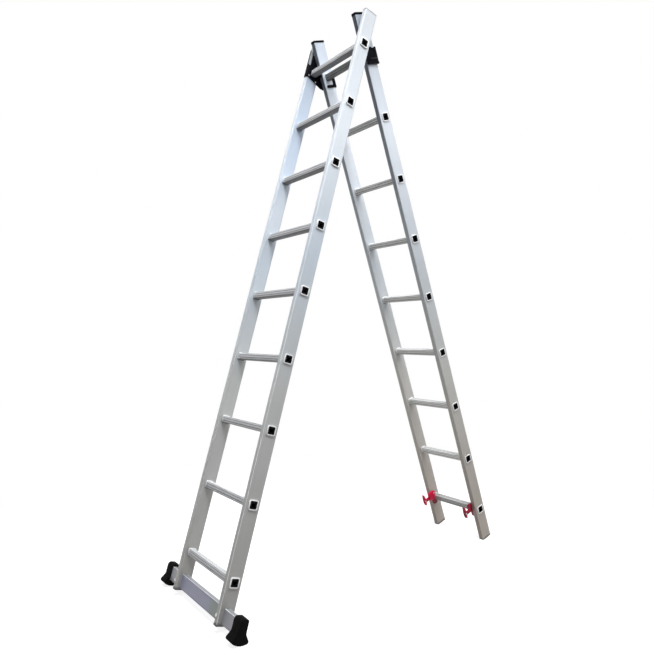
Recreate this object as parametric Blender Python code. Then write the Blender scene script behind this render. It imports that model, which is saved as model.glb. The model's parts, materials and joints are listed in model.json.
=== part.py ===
"""Multi position ladder: a base section and a fly section that fold, slide and hook together.

Each section is drawn in its own frame: X runs across, Y runs rearward and Z runs up the stile from the
centre of the bottom rung. Empties carry those frames, so every piece is placed by its parent, and a
moving piece or its empty has its origin on the axis that it turns about. Lengths are in metres.
"""

import math

import bmesh
import bpy
from mathutils import Matrix, Vector

# Both sections.
rung_count = 9
rung_pitch = 0.280
rung_size = 0.028
rung_corner = 0.004
rung_wall = 0.0015
stile_depth = 0.062
stile_width = 0.025
stile_corner = 0.004
stile_wall = 0.0018
seat_gap = 0.0003

# Rungs: tread grooves along the top, two along the front, a collar inside and a rim outside each stile.
tread_grooves = 3
face_grooves = 2
groove_depth = 0.0007
groove_width = 0.0028
collar_width = 0.0030
collar_length = 0.006
rim_width = 0.0030
rim_proud = 0.0030
rim_taper = 0.0012

# Base section.
base_width = 0.410
base_lean = 17.1
base_head = 0.152
base_tail = 0.0905
leg_depth = 0.018
leg_length = 0.056

# Stabiliser bar, its feet and its bolts.
bar_height = 0.055
bar_depth = 0.025
bar_wall = 0.0020
bar_corner = 0.0030
bar_reach = 0.325
foot_inner = 0.286
foot_outer = 0.332
foot_wall = 0.0050
foot_top = 0.009
foot_waist = 0.040
foot_sweep = 0.012
foot_toe_corner = 0.013
foot_heel_corner = 0.005
sole_corner = 0.003
foot_softness = 0.0020
sole_radius = 0.070
sole_setback = 0.0002
sole_drop = 0.0245
sole_reach = 0.0395
bolt_radius = 0.0040
bolt_head_radius = 0.0066
bolt_head_height = 0.0065
bolt_drop = 0.0262
nut_radius = 0.0074
nut_height = 0.0065

# Top fitting: hinge plate on the base stile, guide sleeve round the fly stile, pivot rivet between them.
plate_thickness = 0.0030
plate_front = 0.027
plate_head = 0.088
plate_head_setback = 0.006
plate_shoulder = 0.036
plate_dip = 0.020
plate_dip_setback = 0.050
plate_foot = 0.024
plate_heel = 0.049
plate_heel_setback = 0.060
pivot_rise = 0.022
pivot_setback = 0.073
pivot_radius = 0.0040
pivot_boss = 0.0098
pivot_head_radius = 0.0062
pivot_head_height = 0.0032
pivot_sink_radius = 0.0056
pivot_sink_depth = 0.0015
running_gap = 0.0022
sleeve_sheet = 0.0025
sleeve_strap = 0.0055
sleeve_up = 0.0225
sleeve_down = 0.049
sleeve_slack = 0.0008
lip_room = 0.0015
sleeve_dip = 0.008
sleeve_dip_setback = 0.018
sleeve_dip_mouth = 0.0185
sleeve_dip_floor = 0.0035
stop_low = 0.006
stop_high = 0.040
stop_inset = 0.008
rim_room = 0.0040
rivet_radius = 0.0024
rivet_head_radius = 0.0042
rivet_head_height = 0.0012
rivet_tail_height = 0.0020
front_rivet = (0.0045, 0.0026)
rear_rivet = (0.0065, 0.0177)

# Fly section, and how it nests in the base when the ladder is folded flat.
fly_lean = 17.6
fly_head = 0.169
nest_gap = 0.0113
nest_drop = 0.01585

# Caps and plugs.
cap_plate = 0.0030
cap_overhang = 0.0008
cap_skirt = 0.0070
plug_length = 0.014
foot_plate = 0.0040
foot_trim = 0.0030
trim_reach = 0.050
trim_half_width = 0.020
end_plate = 0.0080
end_plate_corner = 0.0065

# Clips on the fly stiles' inner faces, level with the bottom of the guide sleeves.
clip_thickness = 0.0040
clip_front = 0.020
clip_high = -0.037
clip_low = -0.050
clip_corner = 0.0030

# Latch hooks on the fly's bottom rung and the safety tongues that close their mouths.
hook_thickness = 0.012
hook_top = 0.038
hook_bottom = 0.033
hook_rear = -0.003
hook_front = 0.050
arm_thickness = 0.0036
arm_top = 0.019
mouth_slack = 0.0016
hook_rivet_setback = -0.013
hook_rivet_head_height = 0.0018
tongue_pivot_front = 0.081
tongue_pivot_rise = 0.012
tongue_width = 0.014
tongue_slot = 0.0098
tongue_half = 0.0060
tongue_up = 0.034
tongue_down = 0.026
tongue_crown = 0.012
tongue_clearance = 0.001
lug_radius = 0.0056
pin_radius = 0.0025
pin_head_radius = 0.0040
pin_head_height = 0.0014
spring_wire = 0.0004
spring_radius = 0.0040
spring_turns = 2.0
spring_pitch = 0.0009

# Facets round a turned piece: fewer on one whose thinnest part is slimmer than this radius.
round_sides = 12
small_sides = 8
small_radius = 0.0029

# Worked out from the sizes above.
collar_size = rung_size + 2 * collar_width
rim_size = rung_size + 2 * rim_width
sleeve_lip = collar_size / 2 + lip_room
top_rung = (rung_count - 1) * rung_pitch
base_outer = base_width / 2
base_inner = base_outer - stile_width
plate_inner = base_inner - seat_gap - plate_thickness
sleeve_outer = plate_inner - running_gap
sleeve_inner = sleeve_outer - sleeve_sheet
fly_outer = sleeve_inner - rim_room
fly_inner = fly_outer - stile_width
half_depth = stile_depth / 2
hole_size = rung_size + 2 * seat_gap
stile_end = -base_tail - leg_length
slot_front = leg_depth - half_depth
bar_front = slot_front + seat_gap
bar_rear = bar_front + bar_depth
slot_rear = bar_rear + seat_gap
bar_top = -base_tail - seat_gap
bar_middle = bar_top - bar_height / 2
bolt_level = bar_top - bolt_drop
sole_middle = bar_front + bar_depth / 2 + sole_setback
sole_centre = bar_top - bar_height - sole_drop + sole_radius
sole_step = math.radians(base_lean) * 2 / 3
base_rung_height = (sole_middle * math.sin(math.radians(base_lean))
                    - sole_centre * math.cos(math.radians(base_lean))
                    + sole_radius * math.cos(sole_step / 2))
nest_offset = half_depth + rung_size / 2 + nest_gap
sleeve_pivot_rise = pivot_rise - nest_drop
sleeve_pivot_setback = pivot_setback - nest_offset
mouth_top = -nest_drop + rung_size / 2 + mouth_slack
hook_middle = fly_inner - seat_gap - hook_thickness / 2
arm_middle = fly_inner - seat_gap - arm_thickness / 2
stop_angle = math.radians(base_lean + fly_lean)
stop_facing = Vector((math.cos(stop_angle), math.sin(stop_angle)))
stop_reach = stop_facing.dot(Vector((pivot_setback, pivot_rise))) - sleeve_pivot_setback - half_depth
stop_rung_reach = rung_corner + (rung_size / 2 - rung_corner) * (stop_facing.x + stop_facing.y)
stop_depth = stop_reach - stop_rung_reach - 2 * seat_gap


def clear_scene():
    for thing in list(bpy.data.objects):
        bpy.data.objects.remove(thing)


def material(name, colour, roughness, metallic):
    made = bpy.data.materials.new(name)
    made.use_nodes = True
    shader = made.node_tree.nodes["Principled BSDF"]
    shader.inputs["Base Color"].default_value = (*colour, 1.0)
    shader.inputs["Roughness"].default_value = roughness
    shader.inputs["Metallic"].default_value = metallic
    made.diffuse_color = (*colour, 1.0)
    return made


def frame(name, parent, location=(0, 0, 0), lean=0.0):
    """Empty that carries a section or a moving piece, leaning about X by degrees."""
    empty = bpy.data.objects.new(name, None)
    bpy.context.scene.collection.objects.link(empty)
    empty.parent = parent
    empty.location = location
    empty.rotation_euler.x = math.radians(lean)
    empty.empty_display_size = 0.05
    return empty


def place(name, mesh, parent, location=(0, 0, 0)):
    thing = bpy.data.objects.new(name, mesh)
    bpy.context.scene.collection.objects.link(thing)
    thing.parent = parent
    thing.location = location
    return thing


def finished(name, shape, surface):
    """Mesh of a closed shape with its faces pointing out, round parts smooth and edges sharp."""
    bmesh.ops.recalc_face_normals(shape, faces=shape.faces)
    mesh = bpy.data.meshes.new(name)
    shape.to_mesh(mesh)
    shape.free()
    mesh.materials.append(surface)
    mesh.shade_smooth()
    mesh.set_sharp_from_angle(angle=math.radians(35))
    return mesh


def joined(*shapes):
    """One bmesh that holds several shapes that don't touch."""
    whole = bmesh.new()
    for shape in shapes:
        mesh = bpy.data.meshes.new("joined")
        shape.to_mesh(mesh)
        shape.free()
        whole.from_mesh(mesh)
        bpy.data.meshes.remove(mesh)
    return whole


def combine(target, shape, operation):
    """Boolean of a target with a shape that is drawn in the target's own frame."""
    bmesh.ops.recalc_face_normals(shape, faces=shape.faces)
    name = f"{target.name}_{operation.lower()}"
    mesh = bpy.data.meshes.new(name)
    shape.to_mesh(mesh)
    shape.free()
    tool = place(name, mesh, target.parent, target.location)
    tool.hide_render = True
    tool.display_type = "WIRE"
    boolean = target.modifiers.new(operation.lower(), "BOOLEAN")
    boolean.operation = operation
    boolean.solver = "EXACT"
    boolean.object = tool


def cut(target, shape):
    combine(target, shape, "DIFFERENCE")


def weld(target, shape):
    combine(target, shape, "UNION")


def rounded_rectangle(width, depth, radius, steps=2):
    """Anticlockwise corner-rounded rectangle about the origin."""
    points = []
    for corner in range(4):
        side = math.radians(45 + 90 * corner)
        middle = Vector((math.copysign(width / 2 - radius, math.cos(side)),
                         math.copysign(depth / 2 - radius, math.sin(side))))
        for step in range(steps + 1):
            angle = math.radians(90 * corner + 90 * step / steps)
            points.append(middle + radius * Vector((math.cos(angle), math.sin(angle))))
    return points


def filleted(corners, steps=3):
    """Outline through (y, z, radius) corners, each rounded by an arc that its sides have room for."""
    points = []
    for index, (y, z, radius) in enumerate(corners):
        here = Vector((y, z))
        before = Vector(corners[index - 1][:2]) - here
        after = Vector(corners[(index + 1) % len(corners)][:2]) - here
        if radius == 0:
            points.append(here)
            continue
        half = before.angle(after) / 2
        reach = min(radius / math.tan(half), 0.49 * before.length, 0.49 * after.length)
        middle = here + (before.normalized() + after.normalized()).normalized() * reach / math.cos(half)
        start = here + before.normalized() * reach - middle
        end = here + after.normalized() * reach - middle
        first = math.atan2(start.y, start.x)
        sweep = (math.atan2(end.y, end.x) - first + math.pi) % (2 * math.pi) - math.pi
        for step in range(steps + 1):
            angle = first + sweep * step / steps
            points.append(middle + start.length * Vector((math.cos(angle), math.sin(angle))))
    return points


def circle(radius, sides=12, flats=0):
    """Ring of points; with flats, every other corner is drawn in to make a polygon of half as many sides."""
    points = []
    for index in range(sides):
        drawn_in = math.cos(math.pi / flats) if flats and index % 2 else 1.0
        angle = 2 * math.pi * index / sides
        points.append(radius * drawn_in * Vector((math.cos(angle), math.sin(angle))))
    return points


def along_x(points, x):
    return [Vector((x, point[0], point[1])) for point in points]


def along_y(points, y):
    return [Vector((point[0], y, point[1])) for point in points]


def along_z(points, z):
    return [Vector((point[0], point[1], z)) for point in points]


def turns(ring):
    """How far round its middle each corner of a ring lies, from 0 at the first to a full turn at the end."""
    middle = sum((vertex.co for vertex in ring), Vector()) / len(ring)
    spokes = [vertex.co - middle for vertex in ring]
    upright = sum((spoke.cross(spokes[index - len(ring) + 1]) for index, spoke in enumerate(spokes)), Vector())
    across = upright.normalized().cross(spokes[0])
    found = [math.atan2(spoke.dot(across), spoke.dot(spokes[0])) % (2 * math.pi) for spoke in spokes]
    return [0.0] + found[1:] + [2 * math.pi]


def bridge(shape, ring, following):
    """Faces between two rings: quads where their corners pair off, or else triangles in step round both."""
    if len(ring) == len(following):
        for index, vertex in enumerate(ring):
            after = (index + 1) % len(ring)
            shape.faces.new((vertex, ring[after], following[after], following[index]))
        return
    ring_turns = turns(ring)
    following_turns = turns(following)
    here = there = 0
    while here < len(ring) or there < len(following):
        corner = ring[here % len(ring)]
        opposite = following[there % len(following)]
        step_here = there == len(following) or (
            here < len(ring) and ring_turns[here + 1] <= following_turns[there + 1])
        if step_here:
            here += 1
            shape.faces.new((corner, ring[here % len(ring)], opposite))
        else:
            there += 1
            shape.faces.new((corner, following[there % len(following)], opposite))


def loft(rings, closed=False):
    """Solid through rings of points: with ends capped, or closed round into a tube."""
    shape = bmesh.new()
    loops = [[shape.verts.new(point) for point in ring] for ring in rings]
    for ring, following in zip(loops, loops[1:]):
        bridge(shape, ring, following)
    if closed:
        bridge(shape, loops[-1], loops[0])
    else:
        shape.faces.new(loops[0])
        shape.faces.new(loops[-1])
    return shape


def prism(outline, low, high, along=along_x):
    return loft([along(outline, low), along(outline, high)])


def block(low, high):
    """Box between two corners."""
    middle = (Vector(low) + Vector(high)) / 2
    size = Vector(high) - Vector(low)
    shape = bmesh.new()
    bmesh.ops.create_cube(shape, size=1.0, matrix=Matrix.Translation(middle) @ Matrix.Diagonal((*size, 1.0)))
    return shape


def turned(stations, along, centre=(0, 0)):
    """Solid of revolution through (place, radius) stations, about an axis through a centre."""
    thinnest = min(radius for _, radius in stations)
    sides = round_sides if thinnest > small_radius else small_sides
    rings = [along([Vector(centre) + point for point in circle(radius, sides)], place_along)
             for place_along, radius in stations]
    return loft(rings)


def grooved_square():
    """Rung section: grooves along its top for tread and along its front for looks."""
    half = rung_size / 2
    flat = rung_size - 2 * rung_corner
    points = []
    arcs = rounded_rectangle(rung_size, rung_size, rung_corner)
    per_corner = len(arcs) // 4
    for side, grooves in enumerate((tread_grooves, face_grooves, 0, 0)):
        points += arcs[side * per_corner:(side + 1) * per_corner]
        outward = Vector((0, 1)) if side == 0 else Vector((-1, 0))
        run = Vector((-1, 0)) if side == 0 else Vector((0, -1))
        for groove in range(grooves):
            middle = outward * half + run * flat * ((groove + 0.5) / grooves - 0.5)
            points.append(middle - run * groove_width / 2)
            points.append(middle - outward * groove_depth)
            points.append(middle + run * groove_width / 2)
    return points


def rung_shape(inner_face, tread_end, collared):
    """Square tube with its ends swaged over both stiles.

    One end is drawn from the tread outwards and the other mirrors it, and the bore closes the loop."""
    outer_face = inner_face + stile_width
    collar = rounded_rectangle(collar_size, collar_size, rung_corner + 0.003)
    socket = rounded_rectangle(rung_size, rung_size, rung_corner, steps=1)
    rim = rounded_rectangle(rim_size, rim_size, rung_corner + 0.003)
    lip = rounded_rectangle(rim_size - 2 * rim_taper, rim_size - 2 * rim_taper, rung_corner + 0.002)
    bore = rounded_rectangle(rung_size - 2 * rung_wall, rung_size - 2 * rung_wall, rung_corner, steps=1)
    end = [(grooved_square(), tread_end)]
    if collared:
        end.append((collar, inner_face - seat_gap))
        end.append((socket, inner_face - seat_gap))
    else:
        end.append((socket, tread_end + seat_gap))
    end.append((socket, outer_face + seat_gap))
    end.append((rim, outer_face + seat_gap))
    end.append((lip, outer_face + rim_proud))
    end.append((bore, outer_face + rim_proud))
    left = [along_x(points, -x) for points, x in reversed(end)]
    right = [along_x(points, x) for points, x in end]
    return loft(left + right, closed=True)


def stile_shape(bottom, top):
    outer = rounded_rectangle(stile_width, stile_depth, stile_corner)
    inner = rounded_rectangle(stile_width - 2 * stile_wall, stile_depth - 2 * stile_wall, 0.0005, steps=1)
    return loft([along_z(outer, bottom), along_z(outer, top), along_z(inner, top), along_z(inner, bottom)],
                closed=True)


def rung_holes():
    outline = rounded_rectangle(hole_size, hole_size, rung_corner, steps=1)
    reach = stile_width
    holes = []
    for rung in range(rung_count):
        raised = [point + Vector((0, rung * rung_pitch)) for point in outline]
        holes.append(prism(raised, -reach, reach))
    return holes


def wall_hole(side, centre, radius):
    """Hole through a stile's inner wall only; side is the way out from the middle of the ladder."""
    inner = -side * stile_width / 2
    ends = sorted((inner - side * stile_wall, inner + side * 2 * stile_wall))
    return turned([(ends[0], radius), (ends[1], radius)], along_x, centre)


def end_cap(outside, skirt, plate, surface, name):
    """Cap on a stile's end: a plug in the bore, a plate over the end and a skirt turned over the edge.

    It is drawn with the stile's end at height 0, and outside is 1 for a top end and -1 for a bottom end."""
    bore_width = stile_width - 2 * stile_wall - 2 * seat_gap
    bore_depth = stile_depth - 2 * stile_wall - 2 * seat_gap
    clear_width = stile_width + 2 * seat_gap
    clear_depth = stile_depth + 2 * seat_gap
    full_width = clear_width + 2 * cap_overhang
    full_depth = clear_depth + 2 * cap_overhang
    corner = stile_corner + seat_gap + cap_overhang
    stations = [(bore_width, bore_depth, 0.002, -plug_length), (bore_width, bore_depth, 0.002, seat_gap)]
    if skirt:
        stations.append((clear_width, clear_depth, stile_corner + seat_gap, seat_gap))
        stations.append((clear_width, clear_depth, stile_corner + seat_gap, -skirt))
        stations.append((full_width, full_depth, corner, -skirt))
    else:
        stations.append((full_width, full_depth, corner, seat_gap))
    soft = plate / 3
    stations.append((full_width, full_depth, corner, plate - soft))
    stations.append((full_width - 2 * soft, full_depth - 2 * soft, corner - soft, plate))
    rings = [along_z(rounded_rectangle(width, depth, radius), outside * height)
             for width, depth, radius, height in stations]
    return finished(name, loft(rings), surface)


def build_rungs(section, parent, inner_face, surface):
    """Nine rungs that share a mesh, but for the base's top rung, which runs through the hinge plates."""
    tread_end = inner_face - seat_gap - collar_length
    mesh = finished(section + "_rung", rung_shape(inner_face, tread_end, True), surface)
    for rung in range(rung_count):
        if section == "base" and rung == rung_count - 1:
            plain_end = plate_inner - 2 * seat_gap
            mesh = finished("base_top_rung", rung_shape(inner_face, plain_end, False), surface)
        place(f"{section}_rung_{rung + 1}", mesh, parent, (0, 0, rung * rung_pitch))


def plate_rivet_places():
    """Flat rivets of the hinge plate, as (y, z) from the top rung: one ahead of the rung, one behind."""
    front = (-plate_front + front_rivet[0], -rung_size / 2 - front_rivet[1])
    rear = (rung_size / 2 + rear_rivet[0], -rung_size / 2 - rear_rivet[1])
    return {"front": front, "rear": rear}


def build_base_stile(side, name, parent, surface):
    """Stile whose lower end is slotted into a front and a rear leg, with the bar between them."""
    centre = base_outer - stile_width / 2
    mesh = finished(name, stile_shape(stile_end, top_rung + base_head), surface)
    stile = place(name, mesh, parent, (side * centre, 0, 0))
    slot = block((-stile_width, slot_front, stile_end - leg_length), (stile_width, slot_rear, -base_tail))
    bolt_hole = turned([(-stile_depth, bolt_radius + seat_gap), (stile_depth, bolt_radius + seat_gap)],
                       along_y, (0, bolt_level))
    rivet_holes = [wall_hole(side, (y, top_rung + z), rivet_radius + seat_gap)
                   for y, z in plate_rivet_places().values()]
    cut(stile, bolt_hole)
    cut(stile, joined(*rung_holes(), slot, *rivet_holes))


def build_end_plug(side, name, parent, surface):
    """Plug with an insert in each leg of a stile and one round-cornered plate under both."""
    half = stile_width / 2
    half_insert = half - stile_wall - seat_gap
    wall = half_depth - stile_wall - seat_gap
    corners = ((-half, stile_end - seat_gap, 0), (half, stile_end - seat_gap, 0),
               (half, stile_end - end_plate, end_plate_corner), (-half, stile_end - end_plate, end_plate_corner))
    plate = prism(filleted(corners), -half_depth, half_depth, along_y)
    plug = place(name, finished(name, plate, surface), parent, (side * (base_outer - half), 0, 0))
    low = stile_end - end_plate / 2
    high = stile_end + plug_length
    weld(plug, joined(block((-half_insert, -wall, low), (half_insert, slot_front, high)),
                      block((-half_insert, slot_rear, low), (half_insert, wall, high))))


def build_bar(parent, surface):
    middle = Vector((bar_front + bar_depth / 2, bar_middle))
    outer = [middle + point for point in rounded_rectangle(bar_depth, bar_height, bar_corner)]
    inner = [middle + point for point in rounded_rectangle(bar_depth - 2 * bar_wall, bar_height - 2 * bar_wall,
                                                           bar_corner / 2, steps=1)]
    tube = loft([along_x(outer, -bar_reach), along_x(outer, bar_reach),
                 along_x(inner, bar_reach), along_x(inner, -bar_reach)], closed=True)
    bar = place("stabilizer_bar", finished("stabilizer_bar", tube, surface), parent)
    holes = []
    for side in (-1, 1):
        x = side * (base_outer - stile_width / 2)
        holes.append(turned([(bar_front - bar_wall, bolt_radius + seat_gap),
                             (bar_rear + bar_wall, bolt_radius + seat_gap)], along_y, (x, bolt_level)))
    cut(bar, joined(*holes))


def sole_arc():
    """Round sole from its front tip to its rear tip, with one facet lying flat when the ladder leans."""
    tip = math.asin(sole_reach / sole_radius)
    count = int(tip / sole_step)
    angles = [-tip] + [step * sole_step for step in range(-count, count + 1)] + [tip]
    return [Vector((sole_middle + sole_radius * math.sin(angle), sole_centre - sole_radius * math.cos(angle)))
            for angle in angles]


def build_foot(side, name, parent, surface):
    """Boot on the bar's end: a crown that grips the bar, a waist, and a toe and heel on a round sole."""
    top = bar_top + foot_top
    waist = bar_top - foot_waist
    front = bar_front - seat_gap - foot_wall
    rear = bar_rear + seat_gap + foot_wall
    crown = [(rear, waist, foot_sweep), (rear, top, foot_heel_corner), (front, top, foot_toe_corner),
             (front, waist, foot_sweep)]
    corners = [(*point, 0) for point in sole_arc()]
    corners[0] = (*corners[0][:2], sole_corner)
    corners[-1] = (*corners[-1][:2], sole_corner)
    ends = sorted((side * foot_inner, side * foot_outer))
    mesh = finished(name, prism(filleted(corners + crown, steps=2), *ends), surface)
    foot = place(name, mesh, parent)
    bevel = foot.modifiers.new("soft edges", "BEVEL")
    bevel.width = foot_softness
    bevel.segments = 1
    bevel.limit_method = "ANGLE"
    bevel.angle_limit = math.radians(80)
    middle = Vector((bar_front + bar_depth / 2, bar_middle))
    pocket = rounded_rectangle(bar_depth + 2 * seat_gap, bar_height + 2 * seat_gap, bar_corner)
    deep = sorted((side * foot_inner / 2, side * (bar_reach + seat_gap)))
    cut(foot, prism([middle + point for point in pocket], *deep))


def build_bar_bolt(side, label, parent, steel):
    """Bolt through both legs of a stile and the bar between them, with its nut behind the rear leg."""
    x = side * (base_outer - stile_width / 2)
    face = -half_depth - seat_gap
    back = half_depth + seat_gap
    tail = back + nut_height + bolt_radius / 2
    stations = [(face - bolt_head_height, bolt_head_radius * 0.8),
                (face - bolt_head_height * 0.7, bolt_head_radius),
                (face, bolt_head_radius), (face, bolt_radius), (tail, bolt_radius)]
    bolt = turned(stations, along_y, (x, bolt_level))
    place("bar_bolt_" + label, finished("bar_bolt_" + label, bolt, steel), parent)
    centre = Vector((x, bolt_level))
    outside = [centre + point for point in circle(nut_radius, flats=6)]
    bore = [centre + point for point in circle(bolt_radius + seat_gap)]
    ring = loft([along_y(outside, back), along_y(outside, back + nut_height),
                 along_y(bore, back + nut_height), along_y(bore, back)], closed=True)
    place("bar_nut_" + label, finished("bar_nut_" + label, ring, steel), parent)


def build_hinge_plate(side, name, parent, surface):
    """Flat plate on the base stile's inner face, with an ear reaching back to the pivot."""
    ear = [(pivot_setback + pivot_boss * math.sin(math.radians(angle)),
            pivot_rise + pivot_boss * math.cos(math.radians(angle)), 0)
           for angle in range(-40, 101, 20)]
    corners = [(-plate_front, plate_head, 0.006), (plate_head_setback, plate_head, 0.010),
               (half_depth, plate_shoulder, 0.010), (plate_dip_setback, plate_dip, 0.012),
               *ear, (plate_heel_setback, -plate_heel, 0.004), (-plate_front, -plate_foot, 0.006)]
    outline = [point + Vector((0, top_rung)) for point in filleted(corners)]
    ends = sorted((side * plate_inner, side * (plate_inner + plate_thickness)))
    plate = place(name, finished(name, prism(outline, *ends), surface), parent)
    square = [point + Vector((0, top_rung)) for point in rounded_rectangle(hole_size, hole_size, rung_corner, steps=1)]
    through = sorted((side * (plate_inner - plate_thickness), side * (plate_inner + 2 * plate_thickness)))
    holes = [prism(square, *through)]
    holes.append(turned([(x, pivot_radius + seat_gap) for x in through], along_x,
                        (pivot_setback, top_rung + pivot_rise)))
    for y, z in plate_rivet_places().values():
        holes.append(turned([(x, rivet_radius + seat_gap) for x in through], along_x, (y, top_rung + z)))
    cut(plate, joined(*holes))


def rivet_stations(head, tail, head_height):
    """Blind rivet: a domed head, a shank from head to tail and the bulge that holds it behind the wall."""
    return [(head - head_height, rivet_head_radius * 0.8), (head - head_height / 3, rivet_head_radius),
            (head, rivet_head_radius), (head, rivet_radius), (tail, rivet_radius),
            (tail, rivet_radius * 1.5), (tail + rivet_tail_height, rivet_radius * 1.3)]


def build_plate_rivets(side, label, parent, steel):
    head = plate_inner - seat_gap
    tail = base_inner + stile_wall + seat_gap
    for place_name, (y, z) in plate_rivet_places().items():
        stations = rivet_stations(head, tail, rivet_head_height)
        rivet = turned([(side * x, radius) for x, radius in stations], along_x, (y, top_rung + z))
        name = f"plate_rivet_{place_name}_{label}"
        place(name, finished(name, rivet, steel), parent)


def pivot_shank(gap):
    """Stations of the pivot's shank with its flush head sunk in the sleeve's plate, swelled by a gap."""
    return [(sleeve_inner, pivot_sink_radius + gap), (sleeve_inner + pivot_sink_depth, pivot_radius + gap)]


def build_pivot_rivet(side, name, parent, steel):
    """Rivet through the sleeve and the hinge plate; its parent stands on the pivot."""
    outer = plate_inner + plate_thickness + seat_gap
    stations = [*pivot_shank(0.0), (outer, pivot_radius), (outer, pivot_head_radius),
                (outer + pivot_head_height / 2, pivot_head_radius),
                (outer + pivot_head_height, pivot_head_radius * 0.6)]
    rivet = turned([(side * x, radius) for x, radius in stations], along_x)
    place(name, finished(name, rivet, steel), parent)


def sleeve_section(side):
    """Plan of the bent sheet: plate outside the stile, strap behind it, lip on its inner face."""
    front = -half_depth - seat_gap - sleeve_sheet
    back = half_depth + sleeve_slack
    inside = fly_inner - seat_gap
    corners = [(sleeve_inner, front, 0), (sleeve_outer, front, 0),
               (sleeve_outer, back + sleeve_strap, 0.0030), (inside - sleeve_sheet, back + sleeve_strap, 0.0030),
               (inside - sleeve_sheet, sleeve_lip, 0), (inside, sleeve_lip, 0),
               (inside, back, 0.0008), (sleeve_inner, back, 0.0008)]
    return [Vector((side * x, y)) for x, y in filleted(corners)]


def build_sleeve(side, name, parent, surface):
    """Guide sleeve, drawn about the fly's top rung and hung on the pivot.

    The block on its front meets the rear edge of the base's top rung when the ladder is fully open."""
    rung = Vector((0, -sleeve_pivot_setback, -sleeve_pivot_rise))
    shape = prism(sleeve_section(side), -sleeve_down, sleeve_up, along_z)
    sleeve = place(name, finished(name, shape, surface), parent, rung)
    front = -half_depth - seat_gap
    stop_ends = sorted((side * (fly_inner + stop_inset), side * sleeve_outer))
    stop = [(front - stop_depth, stop_low, 0.002), (front, stop_low, 0),
            (front, stop_high, 0), (front - stop_depth, stop_high, 0.002)]
    weld(sleeve, prism(filleted(stop), *stop_ends))
    dip = [(sleeve_dip_setback - sleeve_dip_mouth / 2, sleeve_up + seat_gap, 0),
           (sleeve_dip_setback - sleeve_dip_floor / 2, sleeve_up - sleeve_dip, 0.002),
           (sleeve_dip_setback + sleeve_dip_floor / 2, sleeve_up - sleeve_dip, 0.002),
           (sleeve_dip_setback + sleeve_dip_mouth / 2, sleeve_up + seat_gap, 0)]
    ends = sorted((side * (sleeve_inner - rim_room / 4), side * plate_inner))
    cut(sleeve, prism(filleted(dip), *ends))
    hole = [(sleeve_inner - rim_room / 4, pivot_sink_radius + seat_gap), *pivot_shank(seat_gap),
            (plate_inner, pivot_radius + seat_gap)]
    cut(sleeve, turned([(side * x, radius) for x, radius in hole], along_x,
                       (sleeve_pivot_setback, sleeve_pivot_rise)))


def hook_rivet_place():
    return (hook_rivet_setback, (hook_top + collar_size / 2) / 2)


def build_fly_stile(side, name, parent, surface, bottom):
    centre = fly_outer - stile_width / 2
    mesh = finished(name, stile_shape(bottom, top_rung + fly_head), surface)
    stile = place(name, mesh, parent, (side * centre, 0, 0))
    hole = rivet_radius + seat_gap
    cut(stile, joined(*rung_holes(), wall_hole(side, hook_rivet_place(), hole),
                      wall_hole(side, clip_peg_place(), hole)))


def clip_peg_place():
    return ((sleeve_lip - sleeve_slack - clip_front) / 2, top_rung + (clip_low + clip_high) / 2)


def build_clip(side, name, parent, surface):
    """Flat clip on a fly stile's inner face, held by a peg in its wall and clear of the sleeve's lip."""
    seat = fly_inner - seat_gap
    rear = sleeve_lip - sleeve_slack
    outline = filleted([(rear, top_rung + clip_low, clip_corner), (rear, top_rung + clip_high, clip_corner),
                        (-clip_front, top_rung + clip_high, clip_corner),
                        (-clip_front, top_rung + clip_low, clip_corner)])
    ends = sorted((side * (seat - clip_thickness), side * seat))
    clip = place(name, finished(name, prism(outline, *ends), surface), parent)
    peg = [(seat - clip_thickness / 2, rivet_radius), (fly_inner + stile_wall + seat_gap, rivet_radius),
           (fly_inner + stile_wall + seat_gap, rivet_radius * 1.4),
           (fly_inner + stile_wall + rivet_tail_height, rivet_radius)]
    weld(clip, turned([(side * x, radius) for x, radius in peg], along_x, clip_peg_place()))


def build_hook(side, name, parent, surface):
    """Cast hook: it grips the front of the bottom rung and reaches forward over a rung of the base."""
    grip = rung_size / 2 + seat_gap
    jaw = half_depth
    lug = [(-tongue_pivot_front + lug_radius * math.sin(math.radians(angle)),
            tongue_pivot_rise - lug_radius * math.cos(math.radians(angle)), 0)
           for angle in range(0, -181, -30)]
    corners = [(hook_rear, -hook_bottom, 0.003), (-jaw + 0.003, -hook_bottom, 0.006),
               (-jaw, mouth_top, 0.006), (-tongue_pivot_front + 0.010, mouth_top, 0.003), *lug,
               (-hook_front, arm_top, 0.003), (-hook_front, hook_top, 0.014), (hook_rear, hook_top, 0.010),
               (hook_rear, grip, 0.002), (-grip, grip, 0.003), (-grip, -grip, 0.003), (hook_rear, -grip, 0.002)]
    half = hook_thickness / 2
    outline = filleted(corners)
    hook = place(name, finished(name, prism(outline, -half, half), surface), parent, (side * hook_middle, 0, 0))
    beyond = 2 * tongue_pivot_front
    ends = sorted((side * (half - arm_thickness), -side * hook_thickness))
    arm_relief = block((ends[0], -beyond, -beyond), (ends[1], -hook_front, beyond))
    collar = collar_size / 2 + seat_gap
    depth = sorted((side * (half - collar_length - seat_gap), side * hook_thickness))
    collar_relief = block((depth[0], -collar, -collar), (depth[1], collar, collar))
    pin = turned([(-hook_thickness, pin_radius + seat_gap), (hook_thickness, pin_radius + seat_gap)],
                 along_x, (-tongue_pivot_front, tongue_pivot_rise))
    rivet = turned([(-hook_thickness, rivet_radius + seat_gap), (hook_thickness, rivet_radius + seat_gap)],
                   along_x, hook_rivet_place())
    for shape in (arm_relief, collar_relief, pin, rivet):
        cut(hook, shape)


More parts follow.
